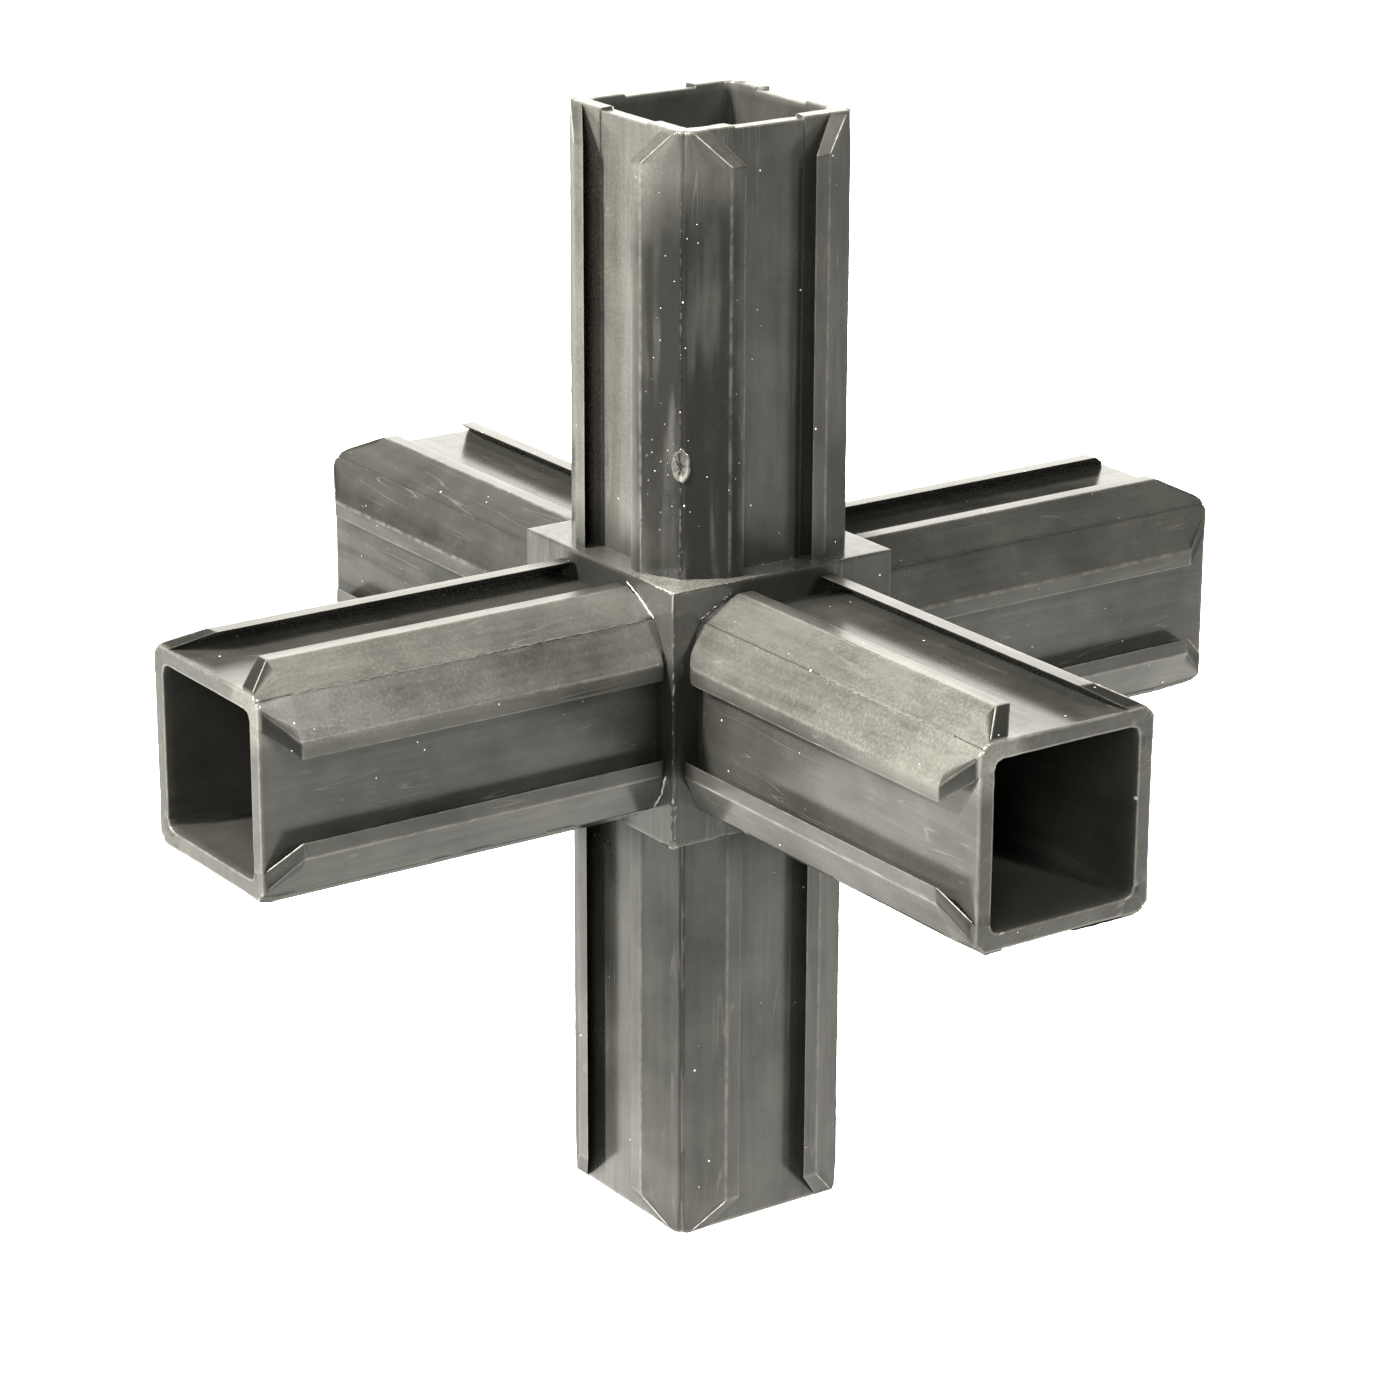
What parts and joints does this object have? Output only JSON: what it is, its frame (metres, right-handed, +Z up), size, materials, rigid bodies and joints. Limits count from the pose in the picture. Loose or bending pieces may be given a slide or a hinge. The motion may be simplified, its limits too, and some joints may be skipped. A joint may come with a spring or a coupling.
{
  "type": "cross tube connector",
  "caption": "Cube hub with a hollow ribbed leg out of every face, each pushed into the end of a square tube to join a frame's corner at right angles.",
  "frame": {"origin": "centre of the hub cube, where the six legs' centre lines cross", "axes": "each axis runs along a leg's centre line; +Z up through the upper leg, -Y and +X through the two legs nearest in the picture; it stands on the leg towards -Z"},
  "size_m": [0.109, 0.109, 0.109],
  "materials": {
    "plastic": "dark warm grey moulded plastic, satin, scuffed, with flash at the parting lines"
  },
  "bodies": {
    "root": {"connector": "plastic"}
  },
  "joints": []
}
